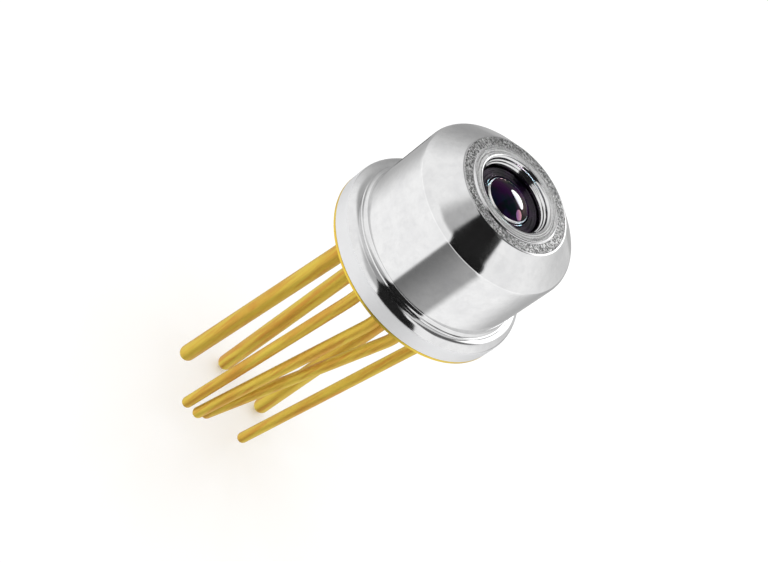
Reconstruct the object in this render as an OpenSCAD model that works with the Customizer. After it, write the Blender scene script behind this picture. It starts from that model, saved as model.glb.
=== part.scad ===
// Cooled photodiode in a lensed metal can with seven leads.
// The optical axis is +Z, the leads point to -Z, and the origin is the centre of the header's underside.

/* [Header] */
// Diameter of the header's rim and of the cap's flange
flange_d = 5.6; // [5.4:0.1:6.4]
// Thickness of the header's rim
rim_h = 0.08; // [0.06:0.01:0.14]
// Height of the raised platform above the underside
platform_h = 0.85; // [0.7:0.05:1]
// Gap between the platform and the bore of the cap
platform_gap = 0.05; // [0.02:0.01:0.1]

/* [Cap] */
// Height of the flange's top above the underside
flange_top = 0.73; // [0.7:0.01:0.85]
// Radius of the flange's round edge
flange_round = 0.28; // [0.2:0.01:0.28]
// Diameter of the straight side
side_d = 4.77; // [4.74:0.01:4.8]
// Height at which the straight side and the cone would meet without rounding
shoulder_z = 3.02; // [2.96:0.02:3.08]
// Radius of the rounding on the shoulder
shoulder_round = 0.36; // [0.2:0.02:0.4]
// Height of the rough ring on top
top_z = 3.6; // [3.5:0.02:3.8]
// Outer diameter of the rough ring
top_ring_d = 3.28; // [3:0.02:3.4]
// Outer diameter of the raised ring around the lens
lip_ring_d = 2.64; // [2.5:0.02:2.8]
// Rise of that ring above the rough ring
lip_rise = 0.03; // [0.02:0.01:0.06]
// Diameter of the opening in the top
opening_d = 2.08; // [2:0.02:2.2]
// Number of turned steps inside that opening
recess_steps = 2; // [1:1:3]
// Fillet between the flange and the straight side
foot_fillet = 0.1; // [0.06:0.01:0.12]
// Small step where that fillet starts
foot_step = 0.03; // [0.02:0.01:0.05]
// Thickness of the side wall
wall = 0.22; // [0.18:0.01:0.24]
// Thickness of the top from the inside ceiling to the rough ring
top_thick = 0.7; // [0.6:0.02:0.75]

/* [Lens] */
// Diameter of the lens
lens_d = 1.28; // [1.2:0.02:1.4]
// Radius of curvature of its outer face
lens_curve = 1.1; // [1:0.05:2]
// Depth of the dome's edge under the rough ring
lens_depth = 0.24; // [0.2:0.02:0.3]
// Height of the cylindrical edge of the lens
lens_edge = 0.4; // [0.34:0.02:0.44]
// Bevel round the edge of its dome
lens_bevel = 0.05; // [0.03:0.01:0.07]
// Diameter of the pocket that holds the sealing glass
pocket_d = 1.94; // [1.8:0.02:1.96]
// Width of the ledge under the sealing glass
ledge = 0.14; // [0.08:0.02:0.2]

/* [Leads] */
// Radius of the circle of leads
pin_r = 1.72; // [1.6:0.01:1.74]
// Diameter of the three thick leads
thick_d = 0.46; // [0.4:0.01:0.5]
// Diameter of the four thin leads
thin_d = 0.32; // [0.26:0.01:0.34]
// Diameter of the glass around a thick lead
thick_seal_d = 0.7; // [0.64:0.01:0.74]
// Diameter of the glass around a thin lead
thin_seal_d = 0.54; // [0.48:0.01:0.58]
// Place of lead 1 on the circle, in degrees
place_1 = 212; // [206:1:218]
// Place of lead 2 on the circle, in degrees
place_2 = 122; // [116:1:128]
// Place of lead 3 on the circle, in degrees
place_3 = 259; // [256:1:261]
// Place of lead 4 on the circle, in degrees
place_4 = 285; // [284:1:286]
// Place of lead 5 on the circle, in degrees
place_5 = 309; // [308:1:316]
// Place of lead 6 on the circle, in degrees
place_6 = 67; // [62:1:72]
// Place of lead 7 on the circle, in degrees
place_7 = 360; // [352:1:366]
// Height of the lead tops above the platform
post_h = 0.4; // [0.2:0.05:0.6]
// Depth of the bend under the header
stub = 1.2; // [0.6:0.1:1.6]
// Direction in which the leads lean, in degrees
lean_to = 176; // [166:1:180]
// Lean of lead 1
lean_1 = 3.5; // [2:0.1:5]
// Lean of lead 2
lean_2 = 1.1; // [0.5:0.1:3]
// Lean of lead 3
lean_3 = 3.5; // [3:0.1:4]
// Lean of lead 4
lean_4 = 6.5; // [6:0.1:7]
// Lean of lead 5
lean_5 = 10.2; // [9:0.1:11]
// Lean of lead 6
lean_6 = 0.6; // [0.4:0.1:2]
// Lean of lead 7
lean_7 = 5.3; // [3:0.1:6]
// Length of lead 1 below the header
length_1 = 8.1; // [4:0.1:12]
// Length of lead 2 below the header
length_2 = 9.5; // [4:0.1:12]
// Length of lead 3 below the header
length_3 = 8.4; // [4:0.1:12]
// Length of lead 4 below the header
length_4 = 8.4; // [4:0.1:12]
// Length of lead 5 below the header
length_5 = 8.6; // [4:0.1:12]
// Length of lead 6 below the header
length_6 = 9.5; // [4:0.1:12]
// Length of lead 7 below the header
length_7 = 9.3; // [4:0.1:12]

/* [Inside] */
// Width of the cooler's hot plate
hot_w = 1.7; // [1.6:0.05:1.75]
// Depth of the cooler's hot plate
hot_d = 1.5; // [1.45:0.05:1.6]
// Thickness of the cooler's plates
plate_h = 0.18; // [0.12:0.02:0.22]
// Amount by which the cold plate is smaller
plate_step = 0.2; // [0.1:0.05:0.25]
// Columns of cooler pellets
pellet_cols = 4; // [3:1:4]
// Rows of cooler pellets
pellet_rows = 3; // [2:1:3]
// Width of a pellet
pellet_w = 0.2; // [0.15:0.01:0.24]
// Height of a pellet
pellet_h = 0.35; // [0.25:0.05:0.4]
// Distance between pellets
pellet_pitch = 0.38; // [0.34:0.01:0.4]
// Width of the square submount
submount_w = 0.8; // [0.7:0.05:0.85]
// Thickness of the submount
submount_h = 0.15; // [0.1:0.05:0.2]
// Width of the square chip
chip_w = 0.45; // [0.4:0.05:0.5]
// Thickness of the chip
chip_h = 0.12; // [0.08:0.02:0.16]
// Side of the thermistor
thermistor_w = 0.2; // [0.15:0.01:0.22]
// Diameter of the bond wire
wire_d = 0.03; // [0.02:0.005:0.04]
// Diameter of the bonds at its ends
bond_d = 0.1; // [0.08:0.01:0.12]
// Height of those bonds
bond_h = 0.05; // [0.045:0.005:0.06]
// Rise of a wire's arc over the line between its ends
wire_rise = 0.16; // [0.1:0.02:0.2]

/* [Hidden] */
$fn = 96;
flange_r = flange_d / 2;
side_r = side_d / 2;
bore_r = side_r - wall;
platform_r = bore_r - platform_gap;
ceiling_z = top_z - top_thick;
// Height of the inside cone under the ceiling
inner_cone_h = 0.3;
inner_shoulder_z = ceiling_z - inner_cone_h;
// Width of that cone
inner_cone_w = 0.5;
opening_r = opening_d / 2;
lip_z = top_z + lip_rise;
lip_round = 0.08;
pocket_r = pocket_d / 2;
lens_r = lens_d / 2;
lens_z = top_z - lens_depth;
lens_foot_z = lens_z - lens_edge;
dome_r = lens_r - lens_bevel;
lens_drop = lens_curve - sqrt(lens_curve * lens_curve - dome_r * dome_r);
seal_top = lens_z - lens_bevel;
// Foot of the turned steps in the opening, and the part of each step that slopes
recess_z = top_z - 0.75 * lens_depth;
recess_step = (opening_r - pocket_r) / recess_steps;
recess_slope = 0.55;
ledge_z = ceiling_z + 0.12;
post_top = platform_h + post_h;
hot_z = platform_h;
pellet_z = hot_z + plate_h;
cold_z = pellet_z + pellet_h;
cold_top = cold_z + plate_h;
cold_w = hot_w - plate_step;
cold_d = hot_d - plate_step;
chip_z = cold_top + submount_h;
chip_top = chip_z + chip_h;
submount_x = -0.22;
thermistor_x = 0.45;
// Distance of a bond from the edge of the hot plate
rim_bond = plate_step / 4;
// Size of the ball in a lead's bend, and the gap between its straight lengths, as shares of its radius
bend_ball = 1.02;
bend_gap = 0.1;
// Extra length of a cut that goes right through
through = 1;

// Place, lean and length of lead n, counted as in the node names
place = [place_1, place_2, place_3, place_4, place_5, place_6, place_7];
thick = [true, true, false, false, false, true, false];
lean = [lean_1, lean_2, lean_3, lean_4, lean_5, lean_6, lean_7];
long = [length_1, length_2, length_3, length_4, length_5, length_6, length_7];
case_lead = 2;
sealed = [1, 3, 4, 5, 6, 7];

function lead_r(n) = (thick[n - 1] ? thick_d : thin_d) / 2;
function seal_r(n) = (thick[n - 1] ? thick_seal_d : thin_seal_d) / 2;
function root(n) = [pin_r * cos(place[n - 1]), pin_r * sin(place[n - 1]), 0];

// Points of an arc about c, from angle a to angle b
function arc(c, r, a, b, steps = 8) =
    [for (k = [0:steps]) c + r * [cos(a + (b - a) * k / steps), sin(a + (b - a) * k / steps)]];

// Gold-plated base: a thin rim under the cap's flange and a platform inside it
module header() {
    color("gold")
    difference() {
        union() {
            cylinder(r = flange_r, h = rim_h);
            cylinder(r = platform_r, h = platform_h);
        }
        for (n = sealed)
            translate(root(n) - [0, 0, through])
                cylinder(r = seal_r(n), h = platform_h + 2 * through);
    }
}

// The turned side of the cap as one section: flange, foot, straight side, shoulder, cone and rings on top
module cap_outside() {
    foot_r = side_r + foot_fillet;
    foot_z = flange_top + foot_step;
    edge = arc([flange_r - flange_round, flange_top - flange_round], flange_round, 0, 90);
    foot = arc([foot_r, foot_z + foot_fillet], foot_fillet, 270, 180);
    cone_lean = atan2(top_z - shoulder_z, side_r - top_ring_d / 2);
    round_start = shoulder_z - shoulder_round * tan((90 - cone_lean) / 2);
    shoulder = arc([side_r - shoulder_round, round_start], shoulder_round, 0, 90 - cone_lean);
    lip = arc([opening_r + lip_round, lip_z - lip_round], lip_round, 90, 180, 6);
    ring = [[top_ring_d / 2, top_z], [lip_ring_d / 2 + lip_rise, top_z], [lip_ring_d / 2, lip_z]];
    // Turned steps that lead down from the lip to the pocket
    recess_top = lip_z - lip_round;
    step_h = (recess_top - recess_z) / recess_steps;
    recess = [for (k = [1:recess_steps], side = [1, 0])
        [opening_r - (k - side) * recess_step, recess_top - (k - side * recess_slope) * step_h]];
    base = [[0, rim_h], [flange_r, rim_h]];
    foot_start = [[foot_r + foot_step / 2, flange_top]];
    polygon(concat(base, edge, foot_start, foot, shoulder, ring, lip, recess, [[0, recess_z]]));
}

// What is cut out of that section: the bore, the inside cone, the glass pocket and the sight hole
module cap_inside() {
    cone_top = [bore_r - inner_cone_w, ceiling_z];
    polygon([[0, 0], [bore_r, 0], [bore_r, inner_shoulder_z], cone_top, [0, ceiling_z]]);
    square([pocket_r - ledge, top_z]);
    translate([0, ledge_z])
        square([pocket_r, top_z]);
}

module cap() {
    color("silver")
    rotate_extrude()
        difference() {
            cap_outside();
            cap_inside();
        }
}

// Lens with a domed outer face, a bevel round it, a cylindrical edge and a flat inner face
module lens() {
    color("indigo")
    rotate_extrude()
        union() {
            polygon([[0, lens_foot_z], [lens_r, lens_foot_z], [lens_r, seal_top],
                [dome_r, lens_z], [0, lens_z]]);
            intersection() {
                translate([0, lens_foot_z])
                    square([dome_r, lens_edge + lens_drop]);
                translate([0, lens_z + lens_drop - lens_curve])
                    circle(r = lens_curve);
            }
        }
}

// Sealing glass between the lens and the pocket, with a hollow top like a drop that has wetted both walls
module lens_seal() {
    gap = pocket_r - lens_r;
    color("black")
    rotate_extrude()
        difference() {
            translate([lens_r, ledge_z])
                square([gap, seal_top - ledge_z]);
            translate([lens_r + gap / 2, seal_top + gap / 2])
                circle(r = gap * 0.62);
        }
}

// Glass bead that holds lead n in the header
module seal(n) {
    color("teal")
    translate(root(n))
        difference() {
            cylinder(r = seal_r(n), h = platform_h);
            translate([0, 0, -through])
                cylinder(r = lead_r(n), h = platform_h + 2 * through);
        }
}

// Lead n: straight through the header, a slight bend under it, a leaning length and a round end
module lead(n) {
    r = lead_r(n);
    gap = bend_gap * r;
    top = n == case_lead ? 0 : post_top;
    run = long[n - 1] - stub - r;
    color("goldenrod")
    translate(root(n) - [0, 0, stub]) {
        translate([0, 0, gap])
            cylinder(r = r, h = top + stub - gap);
        sphere(r = bend_ball * r);
        rotate([0, 0, lean_to])
            rotate([0, -lean[n - 1], 0])
                translate([0, 0, -run]) {
                    cylinder(r = r, h = run - gap);
                    sphere(r = r);
                }
    }
}

// Flat tile centred on x, standing on height z
module tile(w, d, h, z, x = 0) {
    translate([x - w / 2, -d / 2, z])
        cube([w, d, h]);
}

module cooler_hot_plate() {
    color("white")
    tile(hot_w, hot_d, plate_h, hot_z);
}

module cooler_pellets() {
    color("dimgray")
    for (i = [0:pellet_cols - 1], j = [0:pellet_rows - 1])
        translate([i - (pellet_cols - 1) / 2, j - (pellet_rows - 1) / 2, 0] * pellet_pitch)
            tile(pellet_w, pellet_w, pellet_h, pellet_z);
}

module cooler_cold_plate() {
    color("white")
    tile(cold_w, cold_d, plate_h, cold_z);
}

module submount() {
    color("ivory")
    tile(submount_w, submount_w, submount_h, cold_top, submount_x);
}

module chip() {
    color("darkslateblue")
    tile(chip_w, chip_w, chip_h, chip_z, submount_x);
}

module thermistor() {
    color("black")
    tile(thermistor_w, 1.6 * thermistor_w, thermistor_w, cold_top, thermistor_x);
}

// Bond wire from a to b: an upright arc with a small round bond on each pad
module wire(a, b) {
    lift = [0, 0, bond_h / 2];
    d = b - a;
    span = norm(d);
    rho = (span * span / 4 + wire_rise * wire_rise) / (2 * wire_rise);
    half = asin(span / (2 * rho));
    for (p = [a, b])
        translate(p)
            cylinder(d = bond_d, h = bond_h);
    translate((a + b) / 2 + lift)
        rotate([0, -atan2(d.z, norm([d.x, d.y])), atan2(d.y, d.x)])
            rotate([90, 0, 0])
                translate([0, wire_rise - rho, 0])
                    rotate([0, 0, 90 - half])
                        rotate_extrude(angle = 2 * half)
                            translate([rho, 0])
                                circle(d = wire_d);
}

// Wires from the lead tops to the cooler, the chip, its submount and the thermistor
module bond_wires() {
    post = [0, 0, post_top];
    color("gold") {
        wire(root(6) + post, [hot_w / 4, hot_d / 2 - rim_bond, pellet_z]);
        wire(root(1) + post, [rim_bond - hot_w / 2, 0, pellet_z]);
        wire(root(3) + post, [submount_x, -submount_w / 2 + 0.08, chip_z]);
        wire(root(4) + post, [submount_x + chip_w / 2 - 0.08, -chip_w / 2 + 0.08, chip_top]);
        wire(root(5) + post, [thermistor_x, -0.1, cold_top + thermistor_w]);
        wire(root(7) + post, [thermistor_x, 0.1, cold_top + thermistor_w]);
    }
}

header();
cap();
lens();
lens_seal();
seal(1);  // seal_1
seal(3);  // seal_3
seal(4);  // seal_4
seal(5);  // seal_5
seal(6);  // seal_6
seal(7);  // seal_7
lead(1);  // lead_1
lead(2);  // lead_2
lead(3);  // lead_3
lead(4);  // lead_4
lead(5);  // lead_5
lead(6);  // lead_6
lead(7);  // lead_7
cooler_hot_plate();
cooler_pellets();
cooler_cold_plate();
submount();
chip();
thermistor();
bond_wires();
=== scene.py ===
import math

import bmesh
import bpy
from mathutils import Matrix, Vector


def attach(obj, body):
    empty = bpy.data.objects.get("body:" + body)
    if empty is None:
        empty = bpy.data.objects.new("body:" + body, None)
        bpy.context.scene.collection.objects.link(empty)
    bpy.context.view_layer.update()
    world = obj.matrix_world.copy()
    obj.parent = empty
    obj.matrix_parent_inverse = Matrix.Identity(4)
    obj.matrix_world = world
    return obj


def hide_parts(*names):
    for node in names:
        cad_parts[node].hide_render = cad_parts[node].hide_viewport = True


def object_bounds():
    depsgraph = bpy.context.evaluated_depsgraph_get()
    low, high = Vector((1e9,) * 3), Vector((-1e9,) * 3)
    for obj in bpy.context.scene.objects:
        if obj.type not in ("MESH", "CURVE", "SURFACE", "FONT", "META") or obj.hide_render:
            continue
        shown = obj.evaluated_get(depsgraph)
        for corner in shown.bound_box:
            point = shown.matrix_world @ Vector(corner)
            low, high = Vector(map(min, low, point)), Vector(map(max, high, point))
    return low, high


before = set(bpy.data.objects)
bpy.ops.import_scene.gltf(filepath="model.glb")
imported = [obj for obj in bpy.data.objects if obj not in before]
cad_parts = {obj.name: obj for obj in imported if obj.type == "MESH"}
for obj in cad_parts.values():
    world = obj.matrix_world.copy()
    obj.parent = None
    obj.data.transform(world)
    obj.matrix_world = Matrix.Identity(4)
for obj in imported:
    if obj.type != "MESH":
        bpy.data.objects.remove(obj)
cadBox = [list(corner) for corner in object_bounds()]
mm = 0.001
weld = 1e-7  # metres: points closer than this become one
hair = 1e-6  # metres: a point this close to a plane or an axis is on it
print("frame loaded:", len(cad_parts), "nodes")


# small helpers for modelling
def startPiece(name, addPrimitive, **sizes):
    if bpy.context.mode != "OBJECT":
        bpy.ops.object.mode_set(mode="OBJECT")
    bpy.ops.object.select_all(action="DESELECT")
    addPrimitive(**sizes)
    piece = bpy.context.object
    piece.name = name
    piece.data.name = name
    return piece


def pickVerts(piece, test):
    mesh = bmesh.from_edit_mesh(piece.data)
    for vert in mesh.verts:
        vert.select = bool(test(vert.co))
    mesh.select_flush_mode()
    bmesh.update_edit_mesh(piece.data)


def finishPiece(piece, node, material, smoothAngle=30):
    bpy.ops.object.mode_set(mode="OBJECT")
    bpy.ops.object.transform_apply(location=True, rotation=True, scale=True)
    bpy.ops.object.shade_smooth_by_angle(angle=math.radians(smoothAngle))
    piece.data.materials.clear()
    piece.data.materials.append(material)
    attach(piece, "root")
    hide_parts(node)


# a turned piece: the profile is drawn point by point in the XZ plane, then spun about Z
def turnPiece(name, profile, steps, closed=True):
    piece = startPiece(name, bpy.ops.mesh.primitive_plane_add, size=mm)
    bpy.ops.object.mode_set(mode="EDIT")
    bpy.ops.mesh.select_all(action="SELECT")
    bpy.ops.mesh.merge(type="CENTER")
    first = Vector((profile[0][0], 0, profile[0][1])) * mm
    bpy.ops.transform.translate(value=first)
    here = first
    for radius, height in profile[1:]:
        there = Vector((radius, 0, height)) * mm
        bpy.ops.mesh.extrude_region_move(TRANSFORM_OT_translate={"value": there - here})
        here = there
    if closed:
        bpy.ops.mesh.extrude_region_move(TRANSFORM_OT_translate={"value": first - here})
    bpy.ops.mesh.select_all(action="SELECT")
    bpy.ops.mesh.remove_doubles(threshold=weld)
    bpy.ops.mesh.select_all(action="SELECT")
    bpy.ops.mesh.spin(steps=steps, angle=2 * math.pi, center=(0, 0, 0), axis=(0, 0, 1))
    bpy.ops.mesh.select_all(action="SELECT")
    bpy.ops.mesh.remove_doubles(threshold=weld)
    bpy.ops.mesh.select_all(action="SELECT")
    bpy.ops.mesh.normals_make_consistent(inside=False)
    return piece


def arcPoints(centre, radius, fromDeg, toDeg, count):
    points = []
    for k in range(count + 1):
        angle = math.radians(fromDeg + (toDeg - fromDeg) * k / count)
        points.append((centre[0] + radius * math.cos(angle), centre[1] + radius * math.sin(angle)))
    return points


mostOfSide = 0.4


# each corner becomes a small bevel, which takes at most a part of the sides that meet there
def easeCorners(points, size):
    eased = []
    for before, corner, after in zip(points, points[1:], points[2:]):
        here = Vector(corner)
        for other in (before, after):
            toward = Vector(other) - here
            eased.append(tuple(here + toward * min(mostOfSide, size / toward.length)))
    return [points[0]] + eased + [points[-1]]


# node helpers
def newMaterial(name):
    material = bpy.data.materials.new(name)
    material.use_nodes = True
    tree = material.node_tree
    return material, tree, tree.nodes["Principled BSDF"]


def feed(tree, socket, value):
    if isinstance(value, bpy.types.NodeSocket):
        tree.links.new(value, socket)
    else:
        socket.default_value = value


def calc(tree, operation, *values):
    node = tree.nodes.new("ShaderNodeMath")
    node.operation = operation
    for socket, value in zip(node.inputs, values):
        feed(tree, socket, value)
    return node.outputs[0]


# 0 below low, 1 above high, smooth between
def ramp(tree, value, low, high):
    node = tree.nodes.new("ShaderNodeMapRange")
    node.interpolation_type = "SMOOTHSTEP"
    feed(tree, node.inputs["Value"], value)
    node.inputs["From Min"].default_value = low
    node.inputs["From Max"].default_value = high
    return node.outputs["Result"]


def blendColour(tree, factor, first, second):
    node = tree.nodes.new("ShaderNodeMix")
    node.data_type = "RGBA"
    feed(tree, node.inputs["Factor"], factor)
    feed(tree, node.inputs[6], first)
    feed(tree, node.inputs[7], second)
    return node.outputs[2]


def noise(tree, vector, scale, detail, roughness=0.55):
    node = tree.nodes.new("ShaderNodeTexNoise")
    feed(tree, node.inputs["Vector"], vector)
    node.inputs["Scale"].default_value = scale
    node.inputs["Detail"].default_value = detail
    node.inputs["Roughness"].default_value = roughness
    return node.outputs["Fac"]


def bump(tree, height, strength, distance):
    node = tree.nodes.new("ShaderNodeBump")
    node.inputs["Strength"].default_value = strength
    node.inputs["Distance"].default_value = distance
    feed(tree, node.inputs["Height"], height)
    return node.outputs["Normal"]


def times(tree, *values):
    result = values[0]
    for value in values[1:]:
        result = calc(tree, "MULTIPLY", result, value)
    return result


def rgb(red, green, blue):
    return (red, green, blue, 1.0)


def grey(level):
    return rgb(level, level, level)


# 1 where a value lies between low and high, with soft ends
def between(tree, value, low, high, soft):
    rise = ramp(tree, value, low - soft, low + soft)
    fall = ramp(tree, value, high + soft, high - soft)
    return times(tree, rise, fall)


# two tones where a noise passes its limits
def twoTones(tree, source, limits, first, second):
    return blendColour(tree, ramp(tree, source, *limits), rgb(*first), rgb(*second))


# place on a turned piece in millimetres: radius, angle and height, from Object coordinates
def turnedPlaceGroup():
    group = bpy.data.node_groups.new("turnedPlace", "ShaderNodeTree")
    for name in ("Radius", "Angle", "Height"):
        group.interface.new_socket(name, in_out="OUTPUT", socket_type="NodeSocketFloat")
    group.interface.new_socket("Point", in_out="OUTPUT", socket_type="NodeSocketVector")
    out = group.nodes.new("NodeGroupOutput")
    coord = group.nodes.new("ShaderNodeTexCoord")
    inMm = group.nodes.new("ShaderNodeVectorMath")
    inMm.operation = "SCALE"
    inMm.inputs["Scale"].default_value = 1 / mm
    group.links.new(coord.outputs["Object"], inMm.inputs[0])
    split = group.nodes.new("ShaderNodeSeparateXYZ")
    group.links.new(inMm.outputs[0], split.inputs[0])
    x, y, z = split.outputs
    flat = calc(group, "ADD", times(group, x, x), times(group, y, y))
    group.links.new(calc(group, "SQRT", flat), out.inputs["Radius"])
    group.links.new(calc(group, "ARCTAN2", y, x), out.inputs["Angle"])
    group.links.new(z, out.inputs["Height"])
    group.links.new(inMm.outputs[0], out.inputs["Point"])
    return group


turnedPlace = turnedPlaceGroup()


def placeOn(tree):
    node = tree.nodes.new("ShaderNodeGroup")
    node.node_tree = turnedPlace
    return node.outputs


# cap
cap = {
    "flangeRadius": 2.8, "rimHeight": 0.08, "flangeTop": 0.73, "flangeRound": 0.28,
    "sideRadius": 2.385, "footFillet": 0.1, "footStep": 0.03,
    "shoulder": 3.02, "shoulderRound": 0.36, "top": 3.6, "ringRadius": 1.64,
    "lipRadius": 1.32, "lipRise": 0.03, "openingRadius": 1.04, "lipRound": 0.08,
    "recessSteps": 2, "recessBottom": 3.42, "recessSlope": 0.55,
    "pocketRadius": 0.97, "ledgeRadius": 0.83, "ledge": 3.02,
    "ceiling": 2.9, "boreRadius": 2.165, "innerShoulder": 2.6, "innerCone": 1.665,
    "rimEase": 0.02, "edgeHold": 0.06, "ringEase": 0.035, "lipEase": 0.012, "stepEase": 0.008,
    "flangeArc": 16, "footArc": 8, "shoulderArc": 24, "lipArc": 14, "steps": 256, "smoothAngle": 20,
}

# a noise has a scale per millimetre, a detail and a roughness, and limits between which its marks come in
steelLook = {
    "plain": (0.70, 0.70, 0.70), "dull": (0.64, 0.64, 0.645), "mottled": (0.58, 0.58, 0.585),
    "clouds": (1.5, 4.0, 0.6), "cloudLimits": (0.3, 0.75),
    "mottle": (4.5, 3.0, 0.6), "mottleLimits": (0.42, 0.68), "mottleDepth": 0.35,
    "grit": (18.0, 5.0, 0.75), "gritLimits": (0.41, 0.60), "gritDark": 0.05, "gritBright": 0.82,
    "wear": (3.2, 3.0, 0.6), "wearLimits": (0.4, 0.65), "wearDepth": 0.5, "wearTone": 0.2,
    "fineGrit": (34.0, 3.0, 0.65), "fineLimits": (0.36, 0.64), "fineDark": 0.2, "fineBright": 0.64,
    "lipLines": (1.0, 2.0, 0.5), "lipByRadius": 20.0, "lipByAngle": 0.8,
    "brightLimits": (0.40, 0.60), "brightDepth": 0.75, "brightLine": 0.72,
    "darkLimits": (0.48, 0.34), "darkDepth": 0.7, "darkLine": 0.18,
    "turning": (1.0, 3.0, 0.6), "turningByRadius": 60.0, "turningByHeight": 22.0,
    "flange": (0.72, 0.722, 0.73), "flangeDepth": 0.8, "flangeMetal": -0.55,
    "roughness": 0.05, "cloudRoughness": 0.08, "flangeRoughness": 0.36,
    "ringRoughness": 0.27, "lipRoughness": 0.22,
    "crownSlope": 4.5, "gritBump": 0.35, "fineBump": 0.3, "lineBump": 0.9, "turningBump": 0.012,
    "bumpStrength": 0.8, "bumpDistance": 0.06,
    "topFrom": (0.02, 0.01), "flangeFrom": (0.03, 0.01),
    "ringInset": (0.04, 0.025), "lipInset": (0.075, 0.02), "insetSoft": 0.006,
}


def flatVector(tree, first, second):
    node = tree.nodes.new("ShaderNodeCombineXYZ")
    feed(tree, node.inputs[0], first)
    feed(tree, node.inputs[1], second)
    return node.outputs[0]


def steelMaterial():
    look = steelLook
    material, tree, shader = newMaterial("turnedSteel")
    place = placeOn(tree)
    radius, height, point = place["Radius"], place["Height"], place["Point"]

    def upTo(value, edge, below):
        return ramp(tree, value, edge - below[0], edge - below[1])

    def ringOnTop(inner, outer, inset):
        ring = between(tree, radius, inner + inset[0], outer - inset[1], look["insetSoft"])
        return times(tree, onTop, ring)

    # where the rough ring, the lip and the flange's wall are
    onTop = upTo(height, cap["top"], look["topFrom"])
    roughRing = ringOnTop(cap["lipRadius"], cap["ringRadius"], look["ringInset"])
    lipRing = ringOnTop(cap["openingRadius"], cap["lipRadius"], look["lipInset"])
    onFlange = upTo(radius, cap["flangeRadius"], look["flangeFrom"])

    grit = noise(tree, point, *look["grit"])
    fineGrit = noise(tree, point, *look["fineGrit"])
    wear = noise(tree, point, *look["wear"])
    clouds = noise(tree, point, *look["clouds"])
    mottle = noise(tree, point, *look["mottle"])
    # faint turning lines on the whole cap, and coarser rings on the lip
    turned = flatVector(tree, times(tree, radius, look["turningByRadius"]),
                        times(tree, height, look["turningByHeight"]))
    turning = noise(tree, turned, *look["turning"])
    rings = flatVector(tree, times(tree, radius, look["lipByRadius"]),
                       times(tree, place["Angle"], look["lipByAngle"]))
    lipLines = noise(tree, rings, *look["lipLines"])

    # a colour with marks of one tone where a noise passes its limits
    def marked(colour, source, limits, depth, tone):
        where = times(tree, ramp(tree, source, *look[limits]), look[depth])
        return blendColour(tree, where, colour, tone)

    steel = twoTones(tree, clouds, look["cloudLimits"], look["plain"], look["dull"])
    steel = marked(steel, mottle, "mottleLimits", "mottleDepth", rgb(*look["mottled"]))
    steel = blendColour(tree, times(tree, onFlange, look["flangeDepth"]), steel, rgb(*look["flange"]))
    rough = ramp(tree, grit, *look["gritLimits"])
    rough = blendColour(tree, rough, grey(look["gritDark"]), grey(look["gritBright"]))
    rough = marked(rough, wear, "wearLimits", "wearDepth", grey(look["wearTone"]))
    fine = ramp(tree, fineGrit, *look["fineLimits"])
    fine = blendColour(tree, fine, grey(look["fineDark"]), grey(look["fineBright"]))
    fine = marked(fine, lipLines, "brightLimits", "brightDepth", grey(look["brightLine"]))
    fine = marked(fine, lipLines, "darkLimits", "darkDepth", grey(look["darkLine"]))
    colour = blendColour(tree, roughRing, steel, rough)
    colour = blendColour(tree, lipRing, colour, fine)
    feed(tree, shader.inputs["Base Color"], colour)
    feed(tree, shader.inputs["Metallic"], calc(tree, "MULTIPLY_ADD", onFlange, look["flangeMetal"], 1.0))

    smooth = calc(tree, "MULTIPLY_ADD", clouds, look["cloudRoughness"], look["roughness"])
    smooth = calc(tree, "MULTIPLY_ADD", onFlange, look["flangeRoughness"], smooth)
    smooth = calc(tree, "MULTIPLY_ADD", roughRing, look["ringRoughness"], smooth)
    smooth = calc(tree, "MULTIPLY_ADD", lipRing, look["lipRoughness"], smooth)
    feed(tree, shader.inputs["Roughness"], smooth)

    # the rough ring is slightly crowned
    crown = times(tree, calc(tree, "SUBTRACT", cap["ringRadius"], radius), look["crownSlope"])
    ringGrain = calc(tree, "MULTIPLY_ADD", grit, look["gritBump"], crown)
    lipGrain = times(tree, lipLines, look["lineBump"])
    lipGrain = calc(tree, "MULTIPLY_ADD", fineGrit, look["fineBump"], lipGrain)
    grain = calc(tree, "ADD", times(tree, ringGrain, roughRing), times(tree, lipGrain, lipRing))
    grain = calc(tree, "MULTIPLY_ADD", turning, look["turningBump"], grain)
    feed(tree, shader.inputs["Normal"], bump(tree, grain, look["bumpStrength"], look["bumpDistance"] * mm))
    return material


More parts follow.
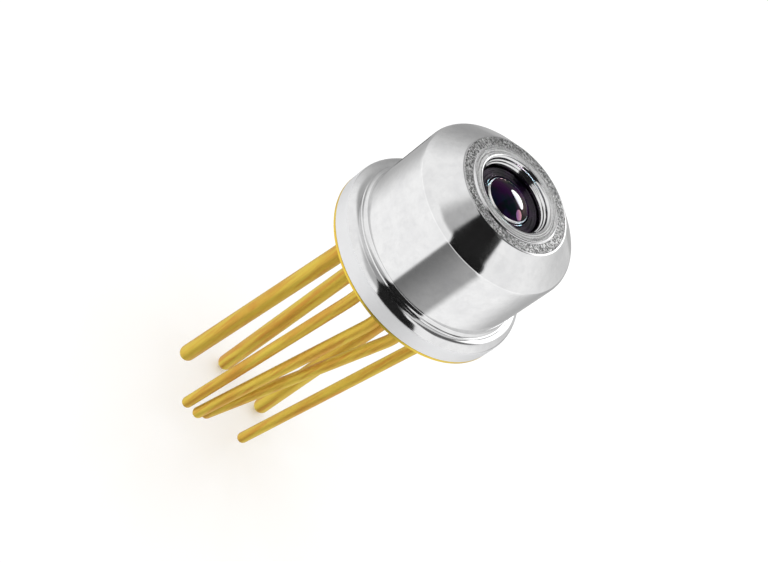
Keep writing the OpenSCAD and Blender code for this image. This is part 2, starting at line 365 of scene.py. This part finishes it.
def makeCap():
    c = cap
    footRadius = c["sideRadius"] + c["footFillet"]
    footTop = c["flangeTop"] + c["footStep"]
    coneLean = math.degrees(math.atan2(c["top"] - c["shoulder"], c["sideRadius"] - c["ringRadius"]))
    bendStart = c["shoulder"] - c["shoulderRound"] * math.tan(math.radians((90 - coneLean) / 2))
    bendCentre = (c["sideRadius"] - c["shoulderRound"], bendStart)
    edgeCentre = (c["flangeRadius"] - c["flangeRound"], c["flangeTop"] - c["flangeRound"])
    lipTop = c["top"] + c["lipRise"]
    profile = [(c["boreRadius"], c["rimHeight"]), (c["flangeRadius"] - c["rimEase"], c["rimHeight"]),
               (c["flangeRadius"], c["rimHeight"] + c["rimEase"])]
    profile += arcPoints(edgeCentre, c["flangeRound"], 0, 90, c["flangeArc"])
    profile += [(footRadius + c["footStep"] / 2, c["flangeTop"])]
    profile += arcPoints((footRadius, footTop + c["footFillet"]), c["footFillet"], 270, 180, c["footArc"])
    profile += arcPoints(bendCentre, c["shoulderRound"], 0, 90 - coneLean, c["shoulderArc"])
    # a point just below the ring's edge keeps the cone's shading straight
    ringEdge = Vector((c["ringRadius"], c["top"]))
    edgeIn = c["edgeHold"] / math.dist(profile[-1], ringEdge)
    profile += [tuple(ringEdge.lerp(Vector(profile[-1]), edgeIn))]
    crown = [profile[-1], (c["ringRadius"], c["top"]), (c["lipRadius"] + c["lipRise"], c["top"]),
             (c["lipRadius"], lipTop), (c["openingRadius"] + c["lipRound"], lipTop)]
    profile += easeCorners(crown[:3], c["ringEase"])[1:-1]
    profile += easeCorners(crown[1:], c["lipEase"])[1:-1]
    recessTop = lipTop - c["lipRound"]
    lipCentre = (c["openingRadius"] + c["lipRound"], recessTop)
    profile += arcPoints(lipCentre, c["lipRound"], 90, 180, c["lipArc"])
    # sloped steps that lead down to the pocket
    inward = (c["openingRadius"] - c["pocketRadius"]) / c["recessSteps"]
    down = (recessTop - c["recessBottom"]) / c["recessSteps"]
    stairs = [profile[-1]]
    for k in range(c["recessSteps"]):
        stairs.append((c["openingRadius"] - inward * k, recessTop - down * (k + 1 - c["recessSlope"])))
        stairs.append((c["openingRadius"] - inward * (k + 1), recessTop - down * (k + 1)))
    stairs += [(c["pocketRadius"], c["ledge"])]
    profile += easeCorners(stairs, c["stepEase"])[1:]
    profile += [(c["ledgeRadius"], c["ledge"]), (c["ledgeRadius"], c["ceiling"]),
                (c["innerCone"], c["ceiling"]), (c["boreRadius"], c["innerShoulder"])]
    piece = turnPiece("capShell", profile, c["steps"])
    finishPiece(piece, "cap", steelMaterial(), c["smoothAngle"])


makeCap()
print("cap turned")

# header, glass beads and leads
leads = {
    "circle": 1.72, "thick": 0.23, "thin": 0.16, "thickBead": 0.35, "thinBead": 0.27,
    "postTop": 1.25, "bendDepth": 1.2, "leanTo": 176,
    "places": {1: 212, 2: 122, 3: 259, 4: 285, 5: 309, 6: 67, 7: 0},
    "leans": {1: 3.5, 2: 1.1, 3: 3.5, 4: 6.5, 5: 10.2, 6: 0.6, 7: 5.3},
    "lengths": {1: 8.1, 2: 9.5, 3: 8.4, 4: 8.4, 5: 8.6, 6: 9.5, 7: 9.3},
    "thickOnes": (1, 2, 6), "caseLead": 2,
    "bendSpan": 0.4, "bendSteps": 6, "shaftSteps": 8, "tipArc": 10, "topEase": 0.01,
    "steps": 40, "smoothAngle": 35,
}
beads = {
    "sink": 0.035, "flat": 0.03, "steps": 48, "smoothAngle": 40,
    "dark": (0.015, 0.03, 0.032), "pale": (0.05, 0.085, 0.08),
    "clouds": (5.0, 3.0), "cloudLimits": (0.3, 0.7),
    "roughness": 0.06, "cloudRoughness": 0.1, "coat": 0.5,
}
header = {
    "rimRadius": 2.8, "rimHeight": 0.08, "platformRadius": 2.115, "platformTop": 0.85,
    "footEase": 0.015, "rimEase": 0.01, "topEase": 0.03,
    "drillDepth": 4, "drillSides": 64, "steps": 256,
}
gold = {
    "bright": (0.74, 0.55, 0.07), "brown": (0.64, 0.33, 0.04), "middle": (0.69, 0.47, 0.055),
    "streaks": (1.0, 4.0, 0.6), "streakLimits": (0.58, 0.38), "streakAlong": 0.35,
    "clouds": (1.3, 3.0), "cloudLimits": (0.4, 0.7), "cloudDepth": 0.6,
    "streakRoughness": 0.15, "bumpStrength": 0.15, "bumpDistance": 0.02,
}


def leadRoot(n):
    angle = math.radians(leads["places"][n])
    return Vector((leads["circle"] * math.cos(angle), leads["circle"] * math.sin(angle), 0))


def leadRadius(n):
    return leads["thick"] if n in leads["thickOnes"] else leads["thin"]


def beadRadius(n):
    return leads["thickBead"] if n in leads["thickOnes"] else leads["thinBead"]


def goldMaterial(name, streakCount, streakDepth, roughness, metallic, tone):
    material, tree, shader = newMaterial(name)
    place = placeOn(tree)
    squeeze = tree.nodes.new("ShaderNodeMapping")
    squeeze.inputs["Scale"].default_value = (streakCount, streakCount, gold["streakAlong"])
    feed(tree, squeeze.inputs["Vector"], place["Point"])
    streaks = noise(tree, squeeze.outputs[0], *gold["streaks"])
    clouds = noise(tree, place["Point"], *gold["clouds"])

    def toned(key):
        return rgb(*(tone * level for level in gold[key]))

    depth = times(tree, ramp(tree, streaks, *gold["streakLimits"]), streakDepth)
    colour = blendColour(tree, depth, toned("bright"), toned("brown"))
    cloudy = times(tree, ramp(tree, clouds, *gold["cloudLimits"]), gold["cloudDepth"])
    colour = blendColour(tree, cloudy, colour, toned("middle"))
    feed(tree, shader.inputs["Base Color"], colour)
    shader.inputs["Metallic"].default_value = metallic
    dulled = calc(tree, "MULTIPLY_ADD", streaks, gold["streakRoughness"], roughness)
    feed(tree, shader.inputs["Roughness"], dulled)
    feed(tree, shader.inputs["Normal"], bump(tree, streaks, gold["bumpStrength"], gold["bumpDistance"] * mm))
    return material


leadGold = goldMaterial("leadGold", streakCount=7.0, streakDepth=1.0,
                        roughness=0.44, metallic=0.6, tone=0.92)
plateGold = goldMaterial("plateGold", streakCount=2.5, streakDepth=0.3,
                         roughness=0.25, metallic=0.9, tone=1.0)


def makeLead(n):
    radius = leadRadius(n)
    top = 0 if n == leads["caseLead"] else leads["postTop"]
    bend = -leads["bendDepth"]
    bottom = bend - (leads["lengths"][n] - leads["bendDepth"] - radius)
    bendSteps, shaftSteps = leads["bendSteps"], leads["shaftSteps"]
    bendLevels = [bend - leads["bendSpan"] * (k / bendSteps - 0.5) for k in range(bendSteps + 1)]
    profile = [(0, top), (radius - leads["topEase"], top), (radius, top - leads["topEase"])]
    profile += [(radius, level) for level in bendLevels]
    profile += [(radius, bend + (bottom - bend) * k / shaftSteps) for k in range(1, shaftSteps)]
    profile += arcPoints((0, bottom), radius, 0, -90, leads["tipArc"])
    piece = turnPiece("leadRod%d" % n, profile, leads["steps"], closed=False)
    # bend it in small turns about the rings under the header
    lean = math.radians(leads["leans"][n])
    toward = math.radians(leads["leanTo"])
    turnAxis = Matrix.Rotation(toward, 3, "Z") @ Vector((0, 1, 0))
    turn = Matrix.Rotation(-lean / bendSteps, 3, turnAxis)
    for level in bendLevels[:-1]:
        pickVerts(piece, lambda co: co.z < level * mm - hair)
        mesh = bmesh.from_edit_mesh(piece.data)
        moved = [v for v in mesh.verts if v.select]
        bmesh.ops.rotate(mesh, cent=(0, 0, level * mm), matrix=turn, verts=moved)
        bmesh.update_edit_mesh(piece.data)
    bpy.ops.mesh.select_all(action="SELECT")
    bpy.ops.transform.translate(value=leadRoot(n) * mm)
    finishPiece(piece, "lead_%d" % n, leadGold, leads["smoothAngle"])


for n in leads["places"]:
    makeLead(n)
print("leads bent")


def beadMaterial():
    material, tree, shader = newMaterial("beadGlass")
    place = placeOn(tree)
    clouds = noise(tree, place["Point"], *beads["clouds"])
    glass = twoTones(tree, clouds, beads["cloudLimits"], beads["dark"], beads["pale"])
    feed(tree, shader.inputs["Base Color"], glass)
    dulled = calc(tree, "MULTIPLY_ADD", clouds, beads["cloudRoughness"], beads["roughness"])
    feed(tree, shader.inputs["Roughness"], dulled)
    shader.inputs["Coat Weight"].default_value = beads["coat"]
    return material


beadGlass = beadMaterial()


# a glass bead whose ends sink a little between the lead and the header
def makeBead(n):
    inner, outer = leadRadius(n), beadRadius(n)
    middle = (inner + outer) / 2
    flat, sink = beads["flat"], beads["sink"]
    low = [(inner, 0), (middle - flat, sink), (middle + flat, sink), (outer, 0)]
    high = [(r, header["platformTop"] - z) for r, z in reversed(low)]
    piece = turnPiece("bead%d" % n, low + high, beads["steps"])
    bpy.ops.mesh.select_all(action="SELECT")
    bpy.ops.transform.translate(value=leadRoot(n) * mm)
    finishPiece(piece, "seal_%d" % n, beadGlass, beads["smoothAngle"])


beadedLeads = [n for n in leads["places"] if n != leads["caseLead"]]
for n in beadedLeads:
    makeBead(n)


def makeHeader():
    h = header
    rim, platform = h["rimRadius"], h["platformRadius"]
    profile = [(0, 0), (rim - h["footEase"], 0), (rim, h["footEase"]),
               (rim, h["rimHeight"] - h["rimEase"]), (rim - h["rimEase"], h["rimHeight"]),
               (platform, h["rimHeight"]), (platform, h["platformTop"] - h["topEase"]),
               (platform - h["topEase"], h["platformTop"]), (0, h["platformTop"])]
    plate = turnPiece("headerPlate", profile, h["steps"], closed=False)
    # the two discs become single faces, so that the drilling leaves no slivers
    pickVerts(plate, lambda co: co.xy.length < hair)
    bpy.ops.mesh.dissolve_verts()
    bpy.ops.object.mode_set(mode="OBJECT")
    for n in beadedLeads:
        cutter = startPiece("holeCutter", bpy.ops.mesh.primitive_cylinder_add, vertices=h["drillSides"],
                            radius=beadRadius(n) * mm, depth=h["drillDepth"] * mm, location=leadRoot(n) * mm)
        bpy.ops.object.select_all(action="DESELECT")
        plate.select_set(True)
        bpy.context.view_layer.objects.active = plate
        drill = plate.modifiers.new("drill", "BOOLEAN")
        drill.operation = "DIFFERENCE"
        drill.object = cutter
        bpy.ops.object.modifier_apply(modifier="drill")
        bpy.data.objects.remove(cutter)
    finishPiece(plate, "header", plateGold)


makeHeader()
print("header drilled")

# lens and its seal
lens = {
    "radius": 0.64, "domeRadius": 0.61, "edge": 3.36, "bevelFoot": 3.31, "foot": 2.96, "curve": 1.1,
    "domeArc": 24, "steps": 160, "roughness": 0.02, "ior": 1.4, "filmThickness": 134.0, "filmIor": 1.22,
    "clouds": (2.2, 2.0), "cloudLimits": (0.35, 0.65),
    "green": (0.0006, 0.0036, 0.0028), "purple": (0.008, 0.0012, 0.009),
}
bevel = {
    "frost": (20.0, 3.0), "frostLimits": (0.3, 0.7), "dull": (0.72, 0.71, 0.70), "pale": (0.88, 0.88, 0.86),
    "metallic": 0.8, "roughness": 0.22, "leastTilt": 0.1,
}
seal = {
    "pocket": 0.97, "ledge": 3.02, "ripples": 3, "rippleHeight": 0.014, "hollowShare": 0.62, "dipArc": 48,
    "roughness": 0.06, "ior": 1.35, "clouds": (3.0, 3.0), "cloudLimits": (0.35, 0.7),
    "dark": (0.002, 0.0015, 0.004), "purple": (0.018, 0.006, 0.023),
}


def lensMaterial():
    material, tree, shader = newMaterial("coatedGlass")
    place = placeOn(tree)
    clouds = noise(tree, place["Point"], *lens["clouds"])
    tint = twoTones(tree, clouds, lens["cloudLimits"], lens["green"], lens["purple"])
    feed(tree, shader.inputs["Base Color"], tint)
    shader.inputs["Roughness"].default_value = lens["roughness"]
    shader.inputs["IOR"].default_value = lens["ior"]
    shader.inputs["Thin Film Thickness"].default_value = lens["filmThickness"]
    shader.inputs["Thin Film IOR"].default_value = lens["filmIor"]
    return material


def bevelMaterial():
    material, tree, shader = newMaterial("groundEdge")
    place = placeOn(tree)
    frost = noise(tree, place["Point"], *bevel["frost"])
    edge = twoTones(tree, frost, bevel["frostLimits"], bevel["dull"], bevel["pale"])
    feed(tree, shader.inputs["Base Color"], edge)
    shader.inputs["Metallic"].default_value = bevel["metallic"]
    shader.inputs["Roughness"].default_value = bevel["roughness"]
    return material


def makeLens():
    curve, rim = lens["curve"], lens["domeRadius"]
    drop = curve - math.sqrt(curve ** 2 - rim ** 2)
    half = math.degrees(math.asin(rim / curve))
    profile = [(0, lens["foot"]), (lens["radius"], lens["foot"]), (lens["radius"], lens["bevelFoot"])]
    profile += arcPoints((0, lens["edge"] + drop - curve), curve, 90 - half, 90, lens["domeArc"])
    piece = turnPiece("lensGlass", profile, lens["steps"], closed=False)
    finishPiece(piece, "lens", lensMaterial())
    # the ground bevel between the dome and the rim has its own finish
    piece.data.materials.append(bevelMaterial())
    low, high = lens["bevelFoot"] * mm, lens["edge"] * mm
    for face in piece.data.polygons:
        if low < face.center.z < high and face.normal.z > bevel["leastTilt"]:
            face.material_index = 1
    return piece


def sealMaterial():
    material, tree, shader = newMaterial("sealGlass")
    place = placeOn(tree)
    clouds = noise(tree, place["Point"], *seal["clouds"])
    glass = twoTones(tree, clouds, seal["cloudLimits"], seal["dark"], seal["purple"])
    feed(tree, shader.inputs["Base Color"], glass)
    shader.inputs["Roughness"].default_value = seal["roughness"]
    shader.inputs["IOR"].default_value = seal["ior"]
    return material


def makeSeal():
    gap = seal["pocket"] - lens["radius"]
    middle = (seal["pocket"] + lens["radius"]) / 2
    hollow = gap * seal["hollowShare"]
    reach = math.degrees(math.acos(gap / 2 / hollow))
    profile = [(lens["radius"], seal["ledge"])]
    # the glass set in rings as it flowed
    dip = arcPoints((middle, lens["bevelFoot"] + gap / 2), hollow, 270 - reach, 270 + reach, seal["dipArc"])
    for k, (radius, height) in enumerate(dip):
        ripple = seal["rippleHeight"] * math.sin(2 * math.pi * seal["ripples"] * k / seal["dipArc"])
        profile.append((radius, height + ripple))
    profile += [(seal["pocket"], seal["ledge"])]
    piece = turnPiece("lensSealRing", profile, lens["steps"])
    finishPiece(piece, "lens_seal", sealMaterial())


lensGlass = makeLens()
makeSeal()
print("lens sealed in")


# finishes of the pieces inside the can, which keep their solids
speckled = {
    "detail": 4.0, "limits": (0.35, 0.65), "roughness": 0.15, "bumpStrength": 0.2, "bumpDistance": 0.005,
}


def plainMaterial(name, first, second, scale, roughness, metallic):
    material, tree, shader = newMaterial(name)
    place = placeOn(tree)
    speckle = noise(tree, place["Point"], scale, speckled["detail"])
    feed(tree, shader.inputs["Base Color"], twoTones(tree, speckle, speckled["limits"], first, second))
    shader.inputs["Metallic"].default_value = metallic
    dulled = calc(tree, "MULTIPLY_ADD", speckle, speckled["roughness"], roughness)
    feed(tree, shader.inputs["Roughness"], dulled)
    grain = bump(tree, speckle, speckled["bumpStrength"], speckled["bumpDistance"] * mm)
    feed(tree, shader.inputs["Normal"], grain)
    return material


# nodes, two tones, scale of the speckle, roughness and metallic
insides = {
    "whiteCeramic": (("cooler_hot_plate", "cooler_cold_plate"),
                     (0.74, 0.74, 0.72), (0.84, 0.84, 0.82), 9.0, 0.5, 0.0),
    "pelletAlloy": (("cooler_pellets",), (0.22, 0.22, 0.24), (0.36, 0.36, 0.38), 14.0, 0.4, 1.0),
    "paleCeramic": (("submount",), (0.66, 0.64, 0.58), (0.76, 0.74, 0.68), 9.0, 0.45, 0.0),
    "polishedChip": (("chip",), (0.03, 0.03, 0.06), (0.06, 0.05, 0.11), 6.0, 0.08, 0.0),
    "darkCeramic": (("thermistor",), (0.02, 0.02, 0.02), (0.05, 0.05, 0.05), 16.0, 0.5, 0.0),
    "wireGold": (("bond_wires",), (0.78, 0.52, 0.14), (0.86, 0.62, 0.20), 8.0, 0.2, 1.0),
}
for finish, (nodes, *values) in insides.items():
    material = plainMaterial(finish, *values)
    for node in nodes:
        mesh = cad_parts[node].data
        mesh.materials.clear()
        mesh.materials.append(material)
print("inside finished")

# stage: floor, world and camera
ground = {"size": 0.6, "drop": 0.05, "tone": 0.985}


def makeFloor():
    bpy.ops.object.select_all(action="DESELECT")
    low = cadBox[0][2] - ground["drop"] * mm
    bpy.ops.mesh.primitive_plane_add(size=ground["size"], location=(0, 0, low))
    floor = bpy.context.object
    floor.name = "floor"
    material, tree, shader = newMaterial("paleFloor")
    shader.inputs["Base Color"].default_value = grey(ground["tone"])
    shader.inputs["Roughness"].default_value = 1.0
    shader.inputs["Specular IOR Level"].default_value = 0.0
    floor.data.materials.append(material)
    floor.visible_glossy = False


# the world by direction: levels, and the x, y or z between which each part fades in,
# or from which to which it reaches, with a softness as the third value
tent = {
    "lightLevel": 1.12, "cameraLevel": 1.0,
    "horizon": -0.28, "horizonBelow": 0.02, "horizonAbove": 0.04,
    "high": 1.18, "low": 1.26, "rearLeft": 0.42, "rearRight": 0.78, "lowRear": 0.52,
    "rearX": (-0.1, 0.35), "highY": (0.25, 1.0), "lowY": (0.0, 0.75),
}
tentPatches = {
    "behind": {"level": 0.05, "share": 1.0,
               "x": (-0.26, 0.12, 0.06), "y": (0.62, 0.74), "z": (-0.46, -0.58)},
    "backTop": {"level": 0.5, "share": 1.0,
                "x": (0.05, -0.02), "y": (0.34, 0.6), "z": (0.5, 0.7)},
    "leftShade": {"level": 0.5, "share": 0.85,
                  "x": (-0.42, -0.02, 0.12), "y": (0.3, 0.0), "z": (0.45, 0.85)},
    "rightGlow": {"level": 2.5, "share": 1.0,
                  "x": (0.08, 0.45, 0.08), "y": (0.52, 0.7), "z": (0.22, 0.72, 0.1)},
    "dimTop": {"level": 0.15, "share": 1.0,
               "x": (0.1, 0.5, 0.06), "y": (0.12, 0.62, 0.06), "z": (0.5, 0.62)},
}
darkSlot = {
    "black": 0.012, "soft": 0.02, "rise": 0.68, "riseY": (-0.2, 0.2),
    "left": -0.04, "leftByHeight": -0.07, "leftByRear": 0.09,
    "right": 0.22, "rightByFront": -0.53, "rightByRear": -0.20,
    "widen": 0.12, "widenZ": (0.91, 0.87), "widenY": (0.1, -0.1),
}
table = {
    "left": -0.05, "leftSoft": 0.03, "right": 0.64, "rightSoft": 0.05, "y": (0.2, -0.1),
    "dark": 0.22, "grey": 0.50,
}
strip = {"level": 1.6, "share": 0.75, "depth": 0.06, "soft": 0.02, "y": (0.4, 0.0)}


def fade(tree, value, limits):
    return between(tree, value, *limits) if len(limits) == 3 else ramp(tree, value, *limits)


# a white tent whose panels are darker at the rear, with patches there that the top of the can sees
def tentPanels(tree, x, y, z, above):
    rear = blendColour(tree, fade(tree, x, tent["rearX"]), grey(tent["rearLeft"]), grey(tent["rearRight"]))
    upper = blendColour(tree, fade(tree, y, tent["highY"]), grey(tent["high"]), rear)
    lower = blendColour(tree, fade(tree, y, tent["lowY"]), grey(tent["low"]), grey(tent["lowRear"]))
    panels = blendColour(tree, above, lower, upper)
    for patch in tentPatches.values():
        limits = [fade(tree, value, patch[key]) for key, value in (("x", x), ("y", y), ("z", z))]
        panels = blendColour(tree, times(tree, *limits, patch["share"]), panels, grey(patch["level"]))
    return panels


# the slot between the panels runs from the camera over the top, and narrows and starts higher at the rear
def slotMask(tree, x, y, z):
    front = calc(tree, "MINIMUM", y, 0.0)
    rear = calc(tree, "MAXIMUM", y, 0.0)
    left = calc(tree, "MULTIPLY_ADD", z, darkSlot["leftByHeight"], darkSlot["left"])
    left = calc(tree, "MULTIPLY_ADD", rear, darkSlot["leftByRear"], left)
    right = calc(tree, "MULTIPLY_ADD", front, darkSlot["rightByFront"], darkSlot["right"])
    right = calc(tree, "MULTIPLY_ADD", rear, darkSlot["rightByRear"], right)
    widen = times(tree, fade(tree, z, darkSlot["widenZ"]), fade(tree, y, darkSlot["widenY"]))
    right = calc(tree, "MULTIPLY_ADD", widen, darkSlot["widen"], right)
    rise = calc(tree, "MULTIPLY_ADD", fade(tree, y, darkSlot["riseY"]), darkSlot["rise"], tent["horizon"])
    soft = darkSlot["soft"]
    return times(tree, ramp(tree, calc(tree, "SUBTRACT", x, left), -soft, soft),
                 ramp(tree, calc(tree, "SUBTRACT", right, x), -soft, soft),
                 ramp(tree, calc(tree, "SUBTRACT", z, rise), -tent["horizonBelow"], tent["horizonAbove"]))


# metal sees the tent, its black slot, and a grey table in front that ends in a bright strip at the horizon
def makeWorld():
    world = bpy.data.worlds.new("softPanels")
    bpy.context.scene.world = world
    world.use_nodes = True
    tree = world.node_tree
    coord = tree.nodes.new("ShaderNodeTexCoord")
    split = tree.nodes.new("ShaderNodeSeparateXYZ")
    tree.links.new(coord.outputs["Generated"], split.inputs[0])
    x, y, z = split.outputs
    horizon = tent["horizon"]
    above = ramp(tree, z, horizon - tent["horizonBelow"], horizon + tent["horizonAbove"])
    panels = tentPanels(tree, x, y, z, above)
    seen = blendColour(tree, slotMask(tree, x, y, z), panels, grey(darkSlot["black"]))
    left, right = table["left"], table["right"]
    onTable = times(tree, ramp(tree, x, left - table["leftSoft"], left + table["leftSoft"]),
                    ramp(tree, x, right + table["rightSoft"], right - table["rightSoft"]),
                    fade(tree, y, table["y"]), calc(tree, "SUBTRACT", 1.0, above))
    across = ramp(tree, x, left, right)
    tableTone = blendColour(tree, across, grey(table["dark"]), grey(table["grey"]))
    seen = blendColour(tree, onTable, seen, tableTone)
    onStrip = times(tree, between(tree, z, horizon - strip["depth"], horizon, strip["soft"]),
                    fade(tree, y, strip["y"]), strip["share"])
    seen = blendColour(tree, onStrip, seen, grey(strip["level"]))
    # matt surfaces and the camera see plain white
    path = tree.nodes.new("ShaderNodeLightPath")
    lit, white = grey(tent["lightLevel"]), grey(tent["cameraLevel"])
    plain = blendColour(tree, path.outputs["Is Camera Ray"], lit, white)
    background = tree.nodes["Background"]
    feed(tree, background.inputs["Color"], blendColour(tree, path.outputs["Is Glossy Ray"], plain, seen))
    background.inputs["Strength"].default_value = 1.0


# two soft lamps behind the can that only the lens catches
lensLamps = {
    "distance": 40,
    "tall": {"toward": (0.12, 0.86, 0.45), "width": 22, "height": 15, "power": 0.075,
             "colour": (0.5, 0.85, 1.0)},
    "small": {"toward": (0.54, 0.60, 0.58), "width": 14, "height": 14, "power": 0.021,
              "colour": (1.0, 0.8, 1.0)},
}


def makeLensLamp(name, lit):
    values = lensLamps[name]
    data = bpy.data.lights.new(name + "Lamp", "AREA")
    data.shape = "ELLIPSE"
    data.size = values["width"] * mm
    data.size_y = values["height"] * mm
    data.energy = values["power"]
    data.color = values["colour"]
    lamp = bpy.data.objects.new(name + "Lamp", data)
    bpy.context.collection.objects.link(lamp)
    toward = Vector(values["toward"]).normalized()
    place = Vector((0, 0, lens["edge"])) + toward * lensLamps["distance"]
    lamp.matrix_world = Matrix.Translation(place * mm) @ toward.to_track_quat("Z", "Y").to_matrix().to_4x4()
    lamp.visible_camera = False
    lamp.light_linking.receiver_collection = lit


def makeLensLamps():
    lit = bpy.data.collections.new("lensAlone")
    lit.objects.link(lensGlass)
    makeLensLamp("tall", lit)
    makeLensLamp("small", lit)


# the camera looks down on the can from its front, rolled so that the lens points up and right
view = {
    "lens": 80, "sensor": 36, "distance": 43.35, "elevation": 39.69, "roll": 53.52,
    "target": (-0.22, -0.651, -0.784), "clipStart": 1, "clipEnd": 10000,
}


def makeCamera():
    data = bpy.data.cameras.new("camera")
    data.lens = view["lens"]
    data.sensor_width = view["sensor"]
    data.clip_start = view["clipStart"] * mm
    data.clip_end = view["clipEnd"] * mm
    camera = bpy.data.objects.new("camera", data)
    bpy.context.collection.objects.link(camera)
    rise = math.radians(view["elevation"])
    back = Vector((0, -math.cos(rise), math.sin(rise)))
    turn = back.to_track_quat("Z", "Y").to_matrix() @ Matrix.Rotation(math.radians(view["roll"]), 3, "Z")
    place = Vector(view["target"]) + back * view["distance"]
    camera.matrix_world = Matrix.Translation(place * mm) @ turn.to_4x4()
    bpy.context.scene.camera = camera


makeFloor()
makeWorld()
makeLensLamps()
makeCamera()
bpy.context.scene.view_settings.view_transform = "Standard"
print("stage set")
